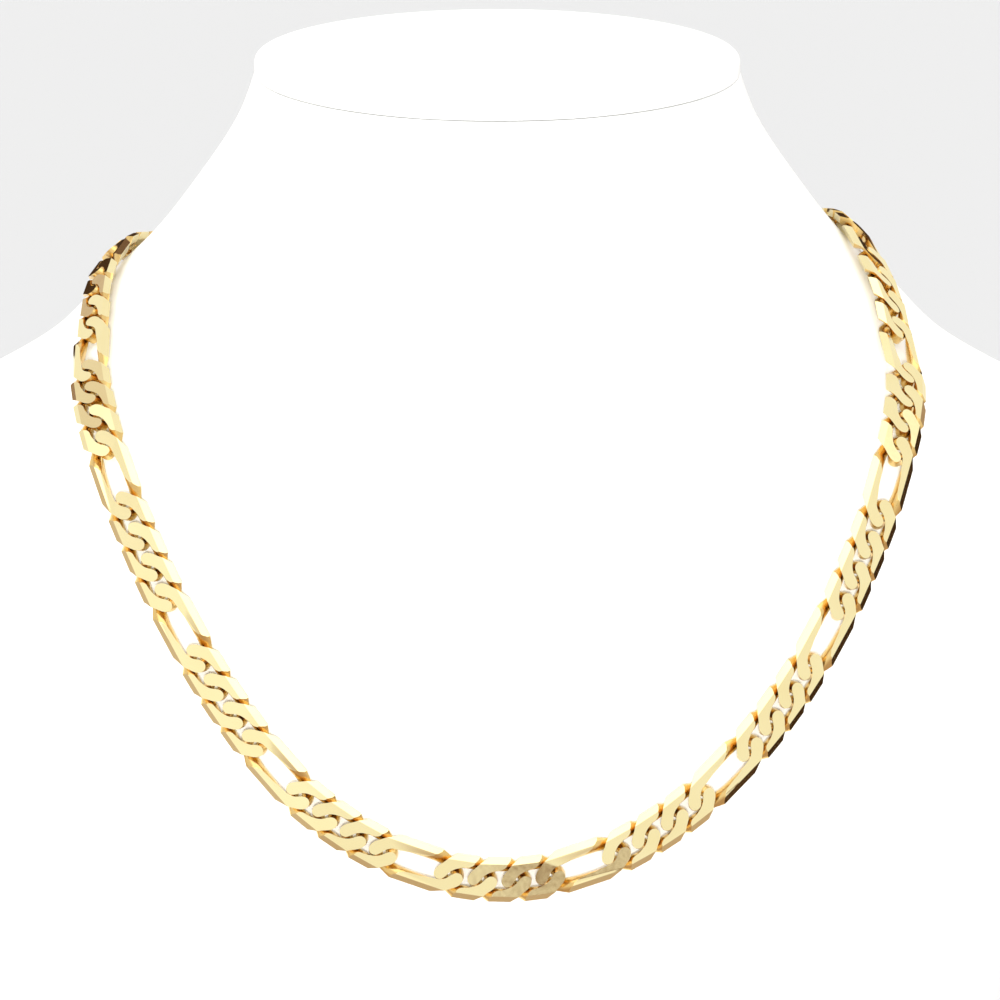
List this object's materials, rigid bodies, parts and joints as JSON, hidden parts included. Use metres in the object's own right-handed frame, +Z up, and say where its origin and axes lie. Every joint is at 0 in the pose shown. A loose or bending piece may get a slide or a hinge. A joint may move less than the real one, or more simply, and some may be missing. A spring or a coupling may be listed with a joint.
{
  "type": "figaro chain necklace on a neck bust",
  "caption": "Polished gold-coloured figaro chain of flat-cut curb links, laid round a plain white neck bust.",
  "frame": {"origin": "middle of the bust's flat base, on the neck's axis", "axes": "+Z up along the neck, -Y the way the chest and the chain's front face, +X towards the viewer's right"},
  "size_m": [0.226, 0.1193, 0.2168],
  "materials": {
    "chain_gold": "polished, gold-plated, with flat diamond-cut faces",
    "bust_white": "smooth satin white"
  },
  "bodies": {
    "root": {"neck_bust": "bust_white", "bust_cap": "bust_white", "chain_left": "chain_gold", "chain_right": "chain_gold", "clasp": "chain_gold", "clasp_ring": "chain_gold", "end_ring": "chain_gold"}
  },
  "joints": []
}
